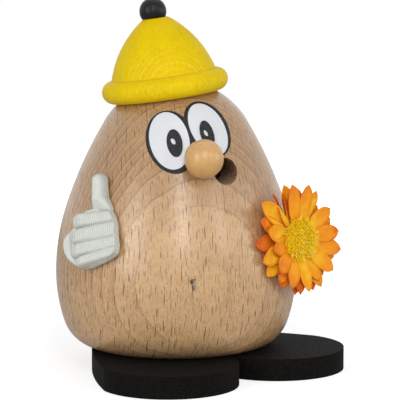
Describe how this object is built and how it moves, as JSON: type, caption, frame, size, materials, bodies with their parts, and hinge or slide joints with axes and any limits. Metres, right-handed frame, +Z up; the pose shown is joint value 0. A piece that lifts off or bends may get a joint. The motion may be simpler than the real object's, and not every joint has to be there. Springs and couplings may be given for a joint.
{
  "type": "incense smoker",
  "caption": "Turned-wood incense smoker: hollow beech egg with comic face, yellow hat, thumbs-up hand and fabric flower, lifting off two flat black soles that carry the cone dish",
  "frame": {"origin": "on the ground under the egg's axis, on the seam between the two soles", "axes": "+Z up, -Y towards the face and nose, +X towards the figure's left hand side, where the flower is"},
  "size_m": [0.1057, 0.1042, 0.137],
  "materials": {
    "beech": "fine sanded, unvarnished, short dark flecks along the grain",
    "dowel_wood": "plain sawn and turned pin stock",
    "lacquered_wood": "clear satin lacquer",
    "yellow_wood": "yellow stain, satin, grain and pores show through",
    "black_board": "matt black paint on board with sawn edges",
    "black_paint": "satin black paint on a wooden bead",
    "eye_black": "matt black pad print",
    "eye_white": "satin white pad print",
    "printed_white": "off-white printed plastic with fine layer lines",
    "petal_cloth": "dyed cloth, orange with redder edges",
    "flower_cushion": "yellow flock, fuzzy",
    "stem_green": "green moulded plastic",
    "dish_metal": "pressed, lightly brushed",
    "tack_brass": "plated, satin",
    "screw_steel": "zinc plated",
    "incense": "pressed charcoal and wood powder, dry and matt"
  },
  "bodies": {
    "base": {"foot_left": "black_board", "foot_right": "black_board", "base_plug": "beech", "sole_screws": "screw_steel", "incense_tray": "dish_metal", "tray_tacks": "tack_brass"},
    "cone": {"incense_cone": "incense"},
    "egg": {"egg_body": "beech", "nose": "lacquered_wood", "nose_dowel": "dowel_wood", "eye_print": "eye_black", "eye_white_left": "eye_white", "eye_white_right": "eye_white", "pupil_left": "eye_black", "pupil_right": "eye_black", "hand": "printed_white", "hand_pin": "dowel_wood", "hat": "yellow_wood", "hat_dowel": "dowel_wood", "bobble": "black_paint", "bobble_pin": "dowel_wood", "petals_outer": "petal_cloth", "petals_middle": "petal_cloth", "petals_inner": "petal_cloth", "flower_center": "flower_cushion", "flower_calyx": "stem_green", "flower_stem": "stem_green"}
  },
  "joints": [
    {"name": "body_lift", "type": "slide", "parent": "base", "child": "egg", "axis": [0, 0, 1], "range_m": [0, 0.06]},
    {"name": "cone_lift", "type": "slide", "parent": "base", "child": "cone", "axis": [0, 0, 1], "range_m": [0, 0.025]}
  ]
}
